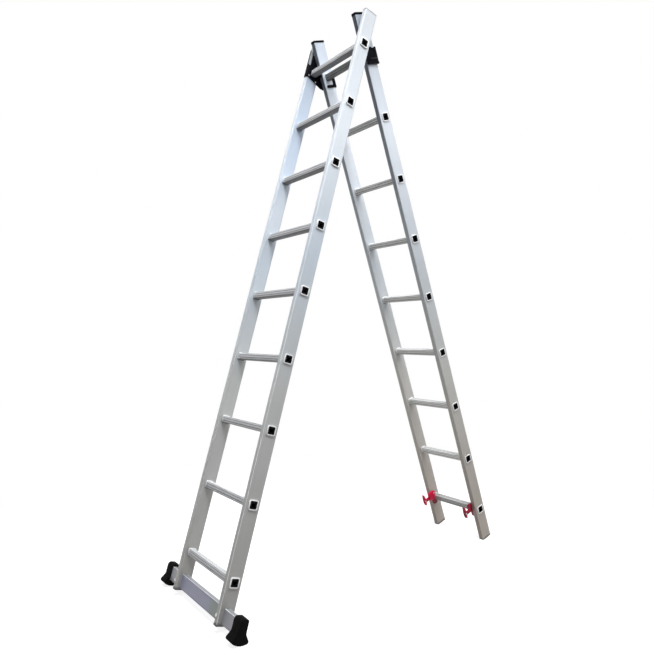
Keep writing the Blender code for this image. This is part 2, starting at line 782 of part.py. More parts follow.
def build_hook_rivet(side, name, parent, steel):
    head = hook_middle - hook_thickness / 2 - seat_gap
    tail = fly_inner + stile_wall + seat_gap
    stations = rivet_stations(head, tail, hook_rivet_head_height)
    rivet = turned([(side * x, radius) for x, radius in stations], along_x, hook_rivet_place())
    place(name, finished(name, rivet, steel), parent)


def build_tongue(name, parent, surface):
    """Forked lever drawn about its pin: the fork straddles the hook's arm."""
    corners = [(-tongue_half * 0.55, tongue_up, 0.0012), (-tongue_half, 0.008, 0.006),
               (-tongue_half, -0.008, 0.006), (-tongue_half * 0.2, -tongue_down, 0.0012),
               (tongue_half * 0.3, -tongue_down * 0.96, 0.0012), (tongue_half, -0.010, 0.005),
               (tongue_half, 0.008, 0.006), (-tongue_half * 0.1, tongue_up, 0.0012)]
    shape = prism(filleted(corners), -tongue_width / 2, tongue_width / 2)
    tongue = place(name, finished(name, shape, surface), parent)
    slot_down = tongue_pivot_rise - mouth_top + tongue_clearance
    slot_up = tongue_up - tongue_crown
    slot = block((-tongue_slot / 2, -tongue_up, -slot_down), (tongue_slot / 2, tongue_up, slot_up))
    hole = pin_radius + seat_gap
    pins = [turned([(-tongue_width, hole), (-tongue_slot / 4, hole)], along_x),
            turned([(tongue_slot / 4, hole), (tongue_width, hole)], along_x)]
    cut(tongue, slot)
    cut(tongue, joined(*pins))


def build_pin(name, parent, steel):
    cheek = tongue_width / 2 + seat_gap
    stations = [(-cheek - pin_head_height, pin_head_radius * 0.8), (-cheek - 0.0005, pin_head_radius),
                (-cheek, pin_head_radius), (-cheek, pin_radius), (cheek, pin_radius),
                (cheek, pin_head_radius), (cheek + 0.0005, pin_head_radius),
                (cheek + pin_head_height, pin_head_radius * 0.8)]
    place(name, finished(name, turned(stations, along_x), steel), parent)


def build_spring(side, name, parent, steel):
    """Torsion spring coiled on the pin between the hook's arm and one cheek of the tongue."""
    start = arm_thickness / 2 + spring_wire + seat_gap / 2
    length = spring_turns * spring_pitch
    count = round(spring_turns * 8)
    points = []
    for step in range(count + 1):
        share = step / count
        angle = 2 * math.pi * spring_turns * share
        points.append(Vector((-side * (start + length * share),
                              spring_radius * math.cos(angle), spring_radius * math.sin(angle))))
    curve = bpy.data.curves.new(name, "CURVE")
    curve.dimensions = "3D"
    spline = curve.splines.new("POLY")
    spline.points.add(len(points) - 1)
    for point, place_here in zip(spline.points, points):
        point.co = (*place_here, 1.0)
    curve.bevel_depth = spring_wire
    curve.bevel_resolution = 0
    curve.use_fill_caps = True
    curve.materials.append(steel)
    place(name, curve, parent)


def stand_on_origin(root):
    """Slide the whole ladder along Y until its extents, as cut and bevelled, are centred on the origin."""
    evaluated = bpy.context.evaluated_depsgraph_get()
    places = []
    for thing in bpy.data.objects:
        if thing.type == "MESH" and not thing.hide_render:
            made = thing.evaluated_get(evaluated)
            places += [(made.matrix_world @ vertex.co).y for vertex in made.data.vertices]
    root.location.y -= (min(places) + max(places)) / 2


def build_base(parent, looks):
    build_rungs("base", parent, base_inner, looks["rung"])
    cap = end_cap(1, 0, cap_plate, looks["pale cap"], "base_top_cap")
    for side, label in ((-1, "left"), (1, "right")):
        centre = side * (base_outer - stile_width / 2)
        build_base_stile(side, "base_stile_" + label, parent, looks["stile"])
        place("base_top_cap_" + label, cap, parent, (centre, 0, top_rung + base_head))
        build_end_plug(side, "stile_end_plug_" + label, parent, looks["black plastic"])
        build_foot(side, "stabilizer_foot_" + label, parent, looks["rubber"])
        build_bar_bolt(side, label, parent, looks["zinc"])
        build_hinge_plate(side, "hinge_plate_" + label, parent, looks["black steel"])
        build_plate_rivets(side, label, parent, looks["zinc"])
    build_bar(parent, looks["bar"])


def build_fly(parent, looks):
    build_rungs("fly", parent, fly_inner, looks["rung"])
    height = (parent.matrix_world @ Vector((0, 0, 0))).z
    lean = math.radians(fly_lean)
    toe = half_depth + seat_gap + cap_overhang
    bottom = -(height - toe * math.sin(lean)) / math.cos(lean) + foot_plate - foot_trim
    cap = end_cap(1, cap_skirt, cap_plate, looks["black plastic"], "fly_top_cap")
    for side, label in ((-1, "left"), (1, "right")):
        centre = side * (fly_outer - stile_width / 2)
        build_fly_stile(side, "fly_stile_" + label, parent, looks["stile"], bottom)
        place("fly_top_cap_" + label, cap, parent, (centre, 0, top_rung + fly_head))
        build_clip(side, "stile_clip_" + label, parent, looks["black plastic"])
        sole = end_cap(-1, 0, foot_plate, looks["dark plastic"], "fly_foot_" + label)
        foot = place("fly_foot_" + label, sole, parent, (centre, 0, bottom))
        rise = height / math.cos(lean) + bottom
        slope = math.tan(lean)
        reach = trim_reach
        ground = [(-reach, -rise + reach * slope), (reach, -rise - reach * slope), (reach, -reach), (-reach, -reach)]
        cut(foot, prism(ground, -trim_half_width, trim_half_width))
        build_hook(side, "latch_hook_" + label, parent, looks["red"])
        build_hook_rivet(side, "hook_rivet_" + label, parent, looks["zinc"])
        pin_frame = frame("tongue_axis_" + label, parent,
                          (side * arm_middle, -tongue_pivot_front, tongue_pivot_rise))
        build_tongue("safety_tongue_" + label, pin_frame, looks["red"])
        build_pin("tongue_pin_" + label, pin_frame, looks["zinc"])
        build_spring(side, "tongue_spring_" + label, pin_frame, looks["zinc"])


def build_ladder():
    clear_scene()
    looks = {
        "stile": material("brushed_aluminium", (0.72, 0.74, 0.78), 0.38, 0.85),
        "rung": material("mill_aluminium", (0.60, 0.61, 0.63), 0.42, 0.85),
        "bar": material("anodised_aluminium", (0.38, 0.38, 0.44), 0.45, 0.8),
        "zinc": material("zinc_plated_steel", (0.80, 0.80, 0.80), 0.30, 1.0),
        "black steel": material("painted_black_steel", (0.02, 0.022, 0.024), 0.45, 0.2),
        "rubber": material("black_rubber", (0.015, 0.015, 0.014), 0.75, 0.0),
        "black plastic": material("black_plastic", (0.02, 0.02, 0.022), 0.5, 0.0),
        "dark plastic": material("dark_grey_plastic", (0.08, 0.08, 0.075), 0.6, 0.0),
        "pale cap": material("pale_grey_plastic", (0.78, 0.79, 0.80), 0.55, 0.0),
        "red": material("crimson_nylon", (0.45, 0.01, 0.05), 0.4, 0.0),
    }
    root = frame("ladder", None)
    base = frame("base_section", root, (0, 0, base_rung_height), -base_lean)
    fold = frame("fold_axis", base, (0, pivot_setback, top_rung + pivot_rise), base_lean + fly_lean)
    fly = frame("fly_section", fold, (0, -sleeve_pivot_setback, -sleeve_pivot_rise - top_rung))
    bpy.context.view_layer.update()
    build_base(base, looks)
    for side, label in ((-1, "left"), (1, "right")):
        build_sleeve(side, "guide_sleeve_" + label, fold, looks["black steel"])
        build_pivot_rivet(side, "pivot_rivet_" + label, fold, looks["zinc"])
    build_fly(fly, looks)
    stand_on_origin(root)


build_ladder()
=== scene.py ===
"""Looks of a multi position ladder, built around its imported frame."""

import json
import math

import bmesh
import bpy
from mathutils import Matrix, Vector


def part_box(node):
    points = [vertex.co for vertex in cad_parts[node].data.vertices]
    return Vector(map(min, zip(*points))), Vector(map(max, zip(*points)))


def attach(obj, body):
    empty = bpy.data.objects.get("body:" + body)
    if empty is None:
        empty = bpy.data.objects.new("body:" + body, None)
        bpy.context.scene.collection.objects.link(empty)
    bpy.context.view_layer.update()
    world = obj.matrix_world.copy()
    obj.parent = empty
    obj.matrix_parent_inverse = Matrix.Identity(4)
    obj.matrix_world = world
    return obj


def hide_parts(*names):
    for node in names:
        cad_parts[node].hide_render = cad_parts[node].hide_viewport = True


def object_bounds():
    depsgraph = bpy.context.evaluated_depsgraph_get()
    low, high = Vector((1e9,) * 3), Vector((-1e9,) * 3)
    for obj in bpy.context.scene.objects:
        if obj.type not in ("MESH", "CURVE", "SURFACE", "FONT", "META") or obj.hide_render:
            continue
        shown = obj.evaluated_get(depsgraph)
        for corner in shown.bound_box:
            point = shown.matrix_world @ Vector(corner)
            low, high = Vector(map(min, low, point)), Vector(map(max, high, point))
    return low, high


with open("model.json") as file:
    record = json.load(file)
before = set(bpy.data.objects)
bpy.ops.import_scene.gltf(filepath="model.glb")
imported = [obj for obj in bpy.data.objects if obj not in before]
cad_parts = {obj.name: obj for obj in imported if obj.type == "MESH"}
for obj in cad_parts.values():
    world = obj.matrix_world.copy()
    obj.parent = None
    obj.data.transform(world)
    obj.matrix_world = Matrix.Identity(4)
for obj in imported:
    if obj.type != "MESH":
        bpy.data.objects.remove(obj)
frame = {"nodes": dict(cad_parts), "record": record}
cad_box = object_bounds()


# Sections: each has its own frame, X across, Y rearward, Z up the stile from the bottom rung.

def middle(node):
    """Middle of a node's box at rest."""
    low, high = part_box(node)
    return (low + high) / 2


def section_frame(section):
    """Frame at the middle of the bottom rung, turned to the lean of its stiles."""
    bottom, top = middle(section + "_rung_1"), middle(section + "_rung_9")
    up = (top - bottom).normalized()
    across = Vector((1, 0, 0))
    turn = Matrix((across, up.cross(across), up)).transposed().to_4x4()
    return Matrix.Translation(bottom) @ turn


base_frame = section_frame("base")
fly_frame = section_frame("fly")
frames = {"base": base_frame, "fly": fly_frame}


def extent(node, section):
    """Lowest and highest corners of a node, seen from a section's own frame."""
    seen = frames[section].inverted()
    places = [seen @ vertex.co for vertex in frame["nodes"][node].data.vertices]
    return [Vector(limit(place[axis] for place in places) for axis in range(3)) for limit in (min, max)]


rung_count = 9
sides = {"left": -1, "right": 1}
ladder_height = cad_box[1].z
right_stiles = {section: extent(section + "_stile_right", section) for section in frames}
collar_swell = 0.0030
rung_half_size = extent("base_rung_1", "base")[1].z - collar_swell
rung_pitch = (middle("base_rung_9") - middle("base_rung_1")).length / (rung_count - 1)


# Finishes.

class Value:
    """A socket of a finish; arithmetic on it adds Math nodes."""

    def __init__(self, finish, socket):
        self.finish = finish
        self.socket = socket

    def math(self, operation, *sockets):
        return self.finish.node("ShaderNodeMath", {"operation": operation}, dict(enumerate(sockets)))

    def __add__(self, other):
        return self.math("ADD", self, other)

    def __sub__(self, other):
        return self.math("SUBTRACT", self, other)

    def __rsub__(self, other):
        return self.math("SUBTRACT", other, self)

    def __mul__(self, other):
        return self.math("MULTIPLY", self, other)

    def __truediv__(self, other):
        return self.math("DIVIDE", self, other)

    def __pow__(self, other):
        return self.math("POWER", self, other)

    def __abs__(self):
        return self.math("ABSOLUTE", self)

    __radd__ = __add__
    __rmul__ = __mul__

    def most(self, other):
        return self.math("MAXIMUM", self, other)

    def rise(self, low, high):
        """0 up to low and 1 from high on, smooth between; it falls instead where low is above high."""
        ends = (0.0, 1.0) if low < high else (1.0, 0.0)
        sockets = {0: self, 1: min(low, high), 2: max(low, high), 3: ends[0], 4: ends[1]}
        return self.finish.node("ShaderNodeMapRange", {"interpolation_type": "SMOOTHSTEP"}, sockets)


def set_stops(elements, stops):
    """Gives a ramp its stops, each a place and a colour."""
    while len(elements) < len(stops):
        elements.new(0.5)
    for element, (place, colour) in zip(elements, stops):
        element.position = place
        element.color = (*colour, 1.0)


class Finish:
    """The node tree of a material or of the world."""

    def __init__(self, owner):
        owner.use_nodes = True
        self.owner = owner
        self.tree = owner.node_tree
        self.tree.nodes.clear()

    def node(self, kind, settings, sockets, output=0):
        """Adds a node: its settings, a ramp's stops among them, then the value or link of each socket."""
        made = self.tree.nodes.new(kind)
        for name, setting in settings.items():
            if name == "stops":
                set_stops(made.color_ramp.elements, setting)
            else:
                setattr(made, name, setting)
        for name, value in sockets.items():
            if isinstance(value, Value):
                self.tree.links.new(value.socket, made.inputs[name])
            elif made.inputs[name].type == "RGBA":
                made.inputs[name].default_value = (*value, 1.0)
            else:
                made.inputs[name].default_value = value
        return Value(self, made.outputs[output]) if made.outputs else None

    def ramp(self, factor, stops):
        return self.node("ShaderNodeValToRGB", {"stops": stops}, {0: factor})

    def place(self, section=None):
        """Object coordinates, or the same seen from a section's own frame."""
        found = self.node("ShaderNodeTexCoord", {}, {}, "Object")
        if section is None:
            return found
        seen = section.inverted()
        sockets = {"Vector": found, "Location": seen.to_translation(), "Rotation": seen.to_euler()}
        return self.node("ShaderNodeMapping", {}, sockets)

    def parts(self, vector):
        split = self.node("ShaderNodeSeparateXYZ", {}, {0: vector}).socket.node
        return [Value(self, output) for output in split.outputs]

    def scaled(self, vector, scale):
        return self.node("ShaderNodeVectorMath", {"operation": "MULTIPLY"}, {0: vector, 1: scale})

    def noise(self, vector, scale, detail=2.0, roughness=0.5):
        sockets = {"Vector": vector, "Scale": scale, "Detail": detail, "Roughness": roughness}
        return self.node("ShaderNodeTexNoise", {}, sockets)

    def mix(self, factor, first, second, blend="MIX"):
        settings = {"data_type": "RGBA", "blend_type": blend}
        return self.node("ShaderNodeMix", settings, {0: factor, 6: first, 7: second}, 2)

    def tinted(self, colour, tint):
        return self.mix(1.0, colour, tint, "MULTIPLY")

    def toned(self, colour, tone):
        """A colour made lighter or darker by a value."""
        return self.tinted(colour, self.node("ShaderNodeCombineColor", {}, {0: tone, 1: tone, 2: tone}))

    def bump(self, height, distance, strength=1.0):
        return self.node("ShaderNodeBump", {}, {"Height": height, "Distance": distance, "Strength": strength})

    def shader(self, **sockets):
        named = {name.replace("_", " "): value for name, value in sockets.items()}
        return self.node("ShaderNodeBsdfPrincipled", {}, named)

    def end(self, shader, kind="ShaderNodeOutputMaterial"):
        self.node(kind, {}, {"Surface": shader})
        return self.owner


def new_finish(name):
    return Finish(bpy.data.materials.new(name))


# Painted light and shade by height over the ladder: bluer and lighter high up, darker and warmer at the foot,
# darker again at the very top.
stile_painted_light_tones = {
    "base": ((0.05, (0.415, 0.405, 0.39)), (0.34, (0.56, 0.565, 0.56)), (0.56, (0.60, 0.665, 0.735)),
             (0.78, (0.81, 0.85, 0.90)), (0.98, (0.62, 0.645, 0.675))),
    "fly": ((0.05, (0.475, 0.42, 0.38)), (0.34, (0.595, 0.585, 0.56)), (0.56, (0.61, 0.645, 0.685)),
            (0.80, (0.80, 0.84, 0.90)), (0.98, (0.49, 0.53, 0.595)))}
# Painted shade on the fly's front strip, which faces down, away from the light: darkest near its top.
fly_front_painted_shade = ((0.05, (0.78, 0.74, 0.72)), (0.30, (1.0, 1.0, 0.98)), (0.55, (1.0, 1.0, 1.0)),
                   (0.68, (0.62, 0.64, 0.66)), (0.82, (0.34, 0.35, 0.37)), (0.96, (0.24, 0.26, 0.29)))
rear_edge_dulling = {"base": 0.12, "fly": 0.35}
left_painted_light = {"base": 0.10, "fly": 0.18}
cut_end_dulling = 0.45
painted_highlight_white = (0.95, 0.96, 0.97)
painted_cool_light_blue = (0.80, 0.87, 0.97)


def stile_aluminium(section):
    """Extruded aluminium: die lines along its length and cloudy handling marks, under light and shade painted
    by height: bluer high up, darker and warmer at the foot.

    The rear edges and the cut end are duller, and the left stile is a little lighter as painted light. The
    fly's front has painted shade of its own. The base's has a painted highlight along its outer edge and a
    painted shade line along its inner one, painted cool light on its inner faces high up, and painted shade
    on the left stile beside its hinge."""
    made = new_finish("stile_" + section)
    place = made.place(frames[section])
    across, rear, up = made.parts(place)
    low = right_stiles[section][0]
    lines = made.noise(made.scaled(place, (160.0, 160.0, 1.2)), 1.0, 4.0, 0.6)
    cloud = made.noise(place, 6.0, 3.0, 0.55)
    scuffs = made.noise(made.scaled(place, (30.0, 30.0, 9.0)), 1.0, 5.0, 0.7).rise(0.60, 0.74)
    height = made.parts(made.place())[2] / ladder_height
    # Painted light and shade by height.
    body = made.ramp(height, stile_painted_light_tones[section])
    front = rear.rise(low.y + 0.0016, low.y + 0.0004)
    tone = lines * 0.10 + cloud * 0.10 + 0.90 - scuffs * 0.06
    tone = tone * (1 - rear.rise(0.0280, 0.0300) * rear_edge_dulling[section])
    # Painted light: the left stiles are made lighter and the right ones darker.
    tone = tone * (across.rise(0.02, -0.02) * left_painted_light[section] + 1 - left_painted_light[section] * 0.45)
    tone = tone * (1 - up.rise(low.z + 0.008, low.z + 0.001) * cut_end_dulling)
    if section == "fly":
        # Painted shade on the fly's front strip.
        body = made.mix(front, body, made.tinted(body, made.ramp(height, fly_front_painted_shade)))
    if section == "base":
        # Painted highlight along the outer edge of the base's front strip.
        painted_edge_highlight = front * abs(across).rise(0.2000, 0.2010)
        body = made.mix(painted_edge_highlight * (cloud * 0.4 + 0.5), body, painted_highlight_white)
        # Painted shade line along the inner edge of the base's front strip.
        tone = tone * (1 - front * abs(across).rise(0.1836, 0.1830) * 0.22)
        # Painted cool light on the base's inner faces high up.
        inner = (1 - front) * abs(across).rise(0.1812, 0.1806)
        body = made.mix(inner * up.rise(1.45, 1.85), body, made.tinted(body, painted_cool_light_blue))
        # Painted shade on the left stile beside its hinge.
        painted_shade_beside_hinge = up.rise(2.19, 2.27) * across.rise(-0.176, -0.178)
        tone = tone * (1 - painted_shade_beside_hinge * (scuffs * 0.3 + cloud * 0.3 + 0.35))
    return made.end(made.shader(
        Base_Color=made.toned(body, tone), Metallic=0.15, Specular_IOR_Level=0.3,
        Roughness=lines * 0.14 + cloud * 0.10 + scuffs * 0.10 + 0.22, Normal=made.bump(lines, 0.0002, 0.25)))


def bar_aluminium():
    """Extruded bar: bluish between the stiles, greener towards the right, with painted highlights along the
    edges of its top.
    """
    made = new_finish("bar")
    place = made.place(base_frame)
    across, rear, up = made.parts(place)
    lines = made.noise(made.scaled(place, (1.2, 160.0, 160.0)), 1.0, 4.0, 0.6)
    cloud = made.noise(made.scaled(place, (9.0, 20.0, 20.0)), 1.0, 3.0, 0.6)
    bottom, top = extent("stabilizer_bar", "base")
    body = made.mix((across + cloud * 0.08 - 0.04).rise(0.05, 0.13), (0.33, 0.33, 0.43), (0.27, 0.30, 0.28))
    body = made.mix(abs(across).rise(0.19, 0.20), body, (0.36, 0.36, 0.39))
    lid = up.rise(top.z - 0.0012, top.z - 0.0002)
    # Painted highlight along the front and rear edges of the top face.
    painted_highlight_edges = rear.rise(top.y - 0.0050, top.y - 0.0025) + rear.rise(bottom.y + 0.0042, bottom.y + 0.0030)
    body = made.mix(lid, body, made.mix(painted_highlight_edges, (0.34, 0.35, 0.37), (0.80, 0.81, 0.83)))
    return made.end(made.shader(
        Base_Color=made.toned(body, lines * 0.16 + cloud * 0.14 + 0.85), Metallic=0.2,
        Specular_IOR_Level=0.3, Roughness=lines * 0.14 + cloud * 0.10 + 0.28,
        Normal=made.bump(lines, 0.0002, 0.25)))


rung_valley_dark = (0.10, 0.105, 0.10)


def rung_finish_with_painted_light(section, colour, wear_and_glint_colour, metal):
    """Rung aluminium: its tread is brightened by wear and a painted highlight, its rims outside the stiles by
    a painted highlight, and the rest of its top is made darker.

    Painted shade darkens its underside, its lower half and the fly's highest rungs; the fly's lowest rung
    is darker too."""
    made = new_finish("rung_" + section)
    place = made.place(frames[section])
    across, rear, up = made.parts(place)
    lines = made.noise(made.scaled(place, (2.0, 180.0, 180.0)), 1.0, 3.0, 0.6)
    cloud = made.noise(made.scaled(place, (6.0, 30.0, 30.0)), 1.0, 3.0, 0.6)
    sockets = {0: up, 1: rung_pitch / 2, 2: -rung_pitch / 2}
    level = made.node("ShaderNodeMath", {"operation": "WRAP"}, sockets)
    half = rung_half_size
    tread = level.rise(half - 0.0012, half - 0.0002)
    stile_face = right_stiles[section][1].x
    rim = abs(across).rise(stile_face - 0.0004, stile_face + 0.0002)
    # Wear and painted highlight: the tread is rubbed bright, and the rims get a painted highlight.
    wear_and_glint = (tread * (cloud * 0.4 + 0.7)).most(rim)
    beside_tread = level.rise(half - 0.0032, half - 0.0022)
    grooved_front = rear.rise(0.0006 - half, 0.0003 - half)
    # The rest of the rung's top, between the rubbed ribs, is made darker.
    valley_darkening = beside_tread.most(1 - grooved_front) * (1 - wear_and_glint) * abs(rear).rise(half, half - 0.0006)
    valley_darkening = valley_darkening * level.rise(0.0018 - half, 0.0024 - half)
    body = made.mix(wear_and_glint, colour, wear_and_glint_colour)
    body = made.mix(valley_darkening * (cloud * 0.4 + 0.5), body, rung_valley_dark)
    # Painted shade on the rung's underside.
    underside_shade = level.rise(0.0022 - half, 0.0008 - half) * (1 - rim)
    tone = (lines * 0.16 + cloud * 0.16 + 0.84) * (1 - underside_shade * 0.55)
    # Painted light and shade: the upper half of each rung lighter, the lower half darker.
    tone = tone * (level.rise(-0.006, 0.006) * 0.22 + 0.86)
    if section == "fly":
        # Painted shade on the fly's highest rungs, which the base section shades; its lowest rung is made
        # darker too.
        darker_end_rungs = up.rise(1.85, 2.20) * 0.62 + up.rise(0.10, 0.05) * 0.40
        tone = tone * (1 - darker_end_rungs * (1 - wear_and_glint))
    return made.end(made.shader(
        Base_Color=made.toned(body, tone), Metallic=metal,
        Specular_IOR_Level=0.15, Roughness=0.48 - wear_and_glint * 0.12 + lines * 0.10,
        Normal=made.bump(lines, 0.0002, 0.3)))


def plain_surface(name, colour, roughness, metal=0.0, specular=0.1, grain=900.0, depth=0.00006):
    """Moulded, cast or painted surface: a fine grain, slightly uneven colour and rubbed patches."""
    made = new_finish(name)
    place = made.place()
    fine = made.noise(place, grain, 2.0)
    cloud = made.noise(place, 26.0, 3.0)
    wear_and_glint = made.noise(place, 70.0, 4.0, 0.7).rise(0.56, 0.72)
    return made.end(made.shader(
        Base_Color=made.toned(colour, cloud * 0.3 + fine * 0.1 + wear_and_glint * 0.10 + 0.78),
        Metallic=metal, Specular_IOR_Level=specular,
        Roughness=cloud * 0.14 + fine * 0.08 - wear_and_glint * 0.10 + roughness - 0.06,
        Normal=made.bump(fine, depth, 0.5)))


crimson = (0.82, 0.010, 0.075)
painted_shade_crimson = (0.06, 0.010, 0.016)


def shaded_red():
    """Crimson moulding, brightest on its knob, with painted shade below the rung and over the right hook."""
    made = new_finish("red")
    across, rear, up = made.parts(made.place(fly_frame))
    place = made.place()
    fine = made.noise(place, 900.0, 2.0)
    cloud = made.noise(place, 40.0, 3.0)
    # Painted shade below the rung and over the whole right hook.
    below_rung = up.rise(0.004, -0.016) * rear.rise(-0.052, -0.040)
    painted_hook_shade = (below_rung * 0.75).most(across.rise(-0.02, 0.02) * 0.62) * (cloud * 0.3 + 0.85)
    body = made.mix(painted_hook_shade, crimson, painted_shade_crimson)
    return made.end(made.shader(
        Base_Color=made.toned(body, cloud * 0.2 + fine * 0.1 + 0.86), Specular_IOR_Level=0.3,
        Roughness=cloud * 0.14 + fine * 0.08 + 0.28, Normal=made.bump(fine, 0.00006, 0.5)))


looks = {
    "stile_base": stile_aluminium("base"),
    "stile_fly": stile_aluminium("fly"),
    "rung_base": rung_finish_with_painted_light("base", (0.62, 0.62, 0.635), (0.96, 0.96, 0.96), 0.18),
    "rung_fly": rung_finish_with_painted_light("fly", (0.78, 0.78, 0.77), (0.97, 0.97, 0.97), 0.30),
    "bar": bar_aluminium(),
    "zinc": plain_surface("zinc", (0.62, 0.62, 0.62), 0.36, metal=0.8),
    "black_steel": plain_surface("black_steel", (0.005, 0.005, 0.007), 0.6, specular=0.06),
    "rubber": plain_surface("rubber", (0.007, 0.007, 0.007), 0.8, specular=0.05, grain=500.0, depth=0.0002),
    "black": plain_surface("black", (0.004, 0.004, 0.005), 0.6),
    "dark": plain_surface("dark", (0.035, 0.034, 0.032), 0.6),
    "grey": plain_surface("grey", (0.17, 0.165, 0.155), 0.55, specular=0.2),
    "pale": plain_surface("pale", (0.46, 0.46, 0.44), 0.5, specular=0.2),
    "red": shaded_red(),
}
look_starts = (
    ("base_stile", "stile_base"), ("fly_stile", "stile_fly"), ("base_rung", "rung_base"),
    ("fly_rung", "rung_fly"), ("stabilizer_bar", "bar"), ("bar_", "zinc"), ("plate_rivet", "zinc"),
    ("pivot", "black_steel"), ("hook_rivet", "zinc"), ("tongue_", "zinc"), ("hinge_plate", "black_steel"),
    ("guide_sleeve", "black_steel"), ("stabilizer_foot", "rubber"), ("base_top_cap", "pale"),
    ("fly_top_cap", "black"), ("stile_clip", "black"), ("fly_foot", "dark"), ("stile_end", "grey"),
    ("latch_hook", "red"), ("safety_tongue", "red"))


def look_of(node):
    """Finish of a node, by the start of its name."""
    return looks[next(look for start, look in look_starts if node.startswith(start))]


for name, thing in frame["nodes"].items():
    thing.data.materials[0] = look_of(name)


# Modelling.

def begin(kind, **where):
    """Adds a primitive with nothing else selected and goes into edit mode on it."""
    bpy.ops.object.select_all(action="DESELECT")
    getattr(bpy.ops.mesh, f"primitive_{kind}_add")(**where)
    bpy.ops.object.mode_set(mode="EDIT")
    return bpy.context.object


def pick(piece, kind, test):
    """Selects only the edges or faces that pass a test."""
    bpy.ops.mesh.select_mode(type=kind)
    bpy.ops.mesh.select_all(action="DESELECT")
    shape = bmesh.from_edit_mesh(piece.data)
    for part in {"EDGE": shape.edges, "FACE": shape.faces}[kind]:
        if test(part):
            part.select_set(True)
    bmesh.update_edit_mesh(piece.data)


def push(move):
    """Extrudes what is selected."""
    bpy.ops.mesh.extrude_region_move(TRANSFORM_OT_translate={"value": move})


def traced(points):
    """Flat face whose outline is drawn point by point, left selected in edit mode."""
    piece = begin("plane", size=0.01, location=points[0])
    bpy.ops.mesh.select_mode(type="VERT")
    bpy.ops.mesh.merge(type="CENTER")
    for here, after in zip(points, points[1:]):
        bpy.ops.mesh.extrude_vertices_move(TRANSFORM_OT_translate={"value": after - here})
    bpy.ops.mesh.select_all(action="SELECT")
    bpy.ops.mesh.edge_face_add()
    return piece


def leave(piece, name, soft=0.0, segments=2, angle=40):
    """Leaves edit mode with faces pointing out, rounds the sharp edges and puts the place in the mesh."""
    bpy.ops.mesh.select_all(action="SELECT")
    bpy.ops.mesh.normals_make_consistent(inside=False)
    bpy.ops.object.mode_set(mode="OBJECT")
    bpy.ops.object.transform_apply(location=True, rotation=True, scale=True)
    if soft:
        bevel = piece.modifiers.new("soft edges", "BEVEL")
        bevel.width = soft
        bevel.segments = segments
        bevel.limit_method = "ANGLE"
        bevel.angle_limit = math.radians(angle)
        bpy.ops.object.modifier_apply(modifier=bevel.name)
    bpy.ops.object.shade_smooth_by_angle(angle=math.radians(35))
    piece.name = name
    return piece


def united(*pieces):
    """Joins several closed shells into the first one's object."""
    bpy.ops.object.select_all(action="DESELECT")
    for piece in pieces:
        piece.select_set(True)
    bpy.context.view_layer.objects.active = pieces[0]
    bpy.ops.object.join()
    return pieces[0]


def copied(piece, name, move):
    """Copy with a mesh of its own; a mirrored one is turned right side out."""
    twin = bpy.data.objects.new(name, piece.data.copy())
    twin.data.transform(move)
    if move.determinant() < 0:
        twin.data.flip_normals()
    bpy.context.scene.collection.objects.link(twin)
    return twin


def hand_over(piece, look, body, slot, *nodes):
    """Gives a finished piece its look and its body, and hides the nodes it stands for; its slot is not used.
    """
    piece.data.materials.clear()
    piece.data.materials.append(look)
    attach(piece, body)
    if nodes:
        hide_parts(*nodes)


bodies = {node: body for body, nodes in frame["record"]["behaviour"]["bodies"].items() for node in nodes}
slots = {part["node"]: part["material_slot"] for part in frame["record"]["subparts"]}


def softened(node, soft):
    """A node's own shape with its edges rounded over."""
    bpy.ops.object.select_all(action="DESELECT")
    piece = bpy.data.objects.new(node + "_moulded", frame["nodes"][node].data.copy())
    bpy.context.scene.collection.objects.link(piece)
    piece.select_set(True)
    bpy.context.view_layer.objects.active = piece
    bpy.ops.object.mode_set(mode="EDIT")
    bpy.ops.mesh.select_all(action="SELECT")
    bpy.ops.mesh.remove_doubles(threshold=0.00002)
    bpy.ops.mesh.dissolve_limited(angle_limit=math.radians(1))
    return leave(piece, node + "_moulded", soft, 2, 30)


# Rungs: ribbed tread, swaged collars inside the stiles, rolled rims and plugs outside them.

tread_ribs = 4
rib_height = 0.0011
face_grooves = 2
face_groove_width = 0.0034
face_groove_depth = 0.0010
rung_corner = 0.0040
corner_steps = 3
collar_length = 0.0060
rim_flare = 0.0024
rim_proud = {"base": 0.0020, "fly": 0.0004}
rim_lip = 0.0046
rim_depth = 0.0050
plug_gap = 0.0002
plug_sunk = 0.0007
plug_border = 0.0026
plug_dish = 0.0011
stile_bite = 0.0003
mirror = Matrix.Diagonal((-1, 1, 1, 1))
top_tread_gap = 0.0036


def corner_arc(centre, first):
    """Points of a rounded corner, a quarter circle from an angle in degrees."""
    angles = [math.radians(first + 90 * step / corner_steps) for step in range(corner_steps + 1)]
    return [centre + rung_corner * Vector((math.cos(angle), math.sin(angle))) for angle in angles]


def rung_outline(half):
    """Section of a rung: ribs across its top, two grooves down its front, plain behind and below."""
    reach = half - rung_corner
    flat = 2 * reach
    points = corner_arc(Vector((reach, reach)), 0)
    pitch = flat / tread_ribs
    valley = half - rib_height
    for rib in range(tread_ribs):
        start = reach - flat * rib / tread_ribs
        points += [Vector((start - pitch * 0.12, valley)), Vector((start - pitch * 0.34, valley)),
                   Vector((start - pitch * 0.46, half))]
    points += corner_arc(Vector((-reach, reach)), 90)
    for groove in range(face_grooves):
        level = reach - flat * (groove + 0.5) / face_grooves
        wide, deep = face_groove_width / 2, face_groove_depth
        points += [Vector((-half, level + wide)), Vector((-half + deep, level + wide * 0.5)),
                   Vector((-half + deep, level - wide * 0.5)), Vector((-half, level - wide))]
    points += corner_arc(Vector((-reach, -reach)), 180)
    points += corner_arc(Vector((reach, -reach)), 270)
    return points


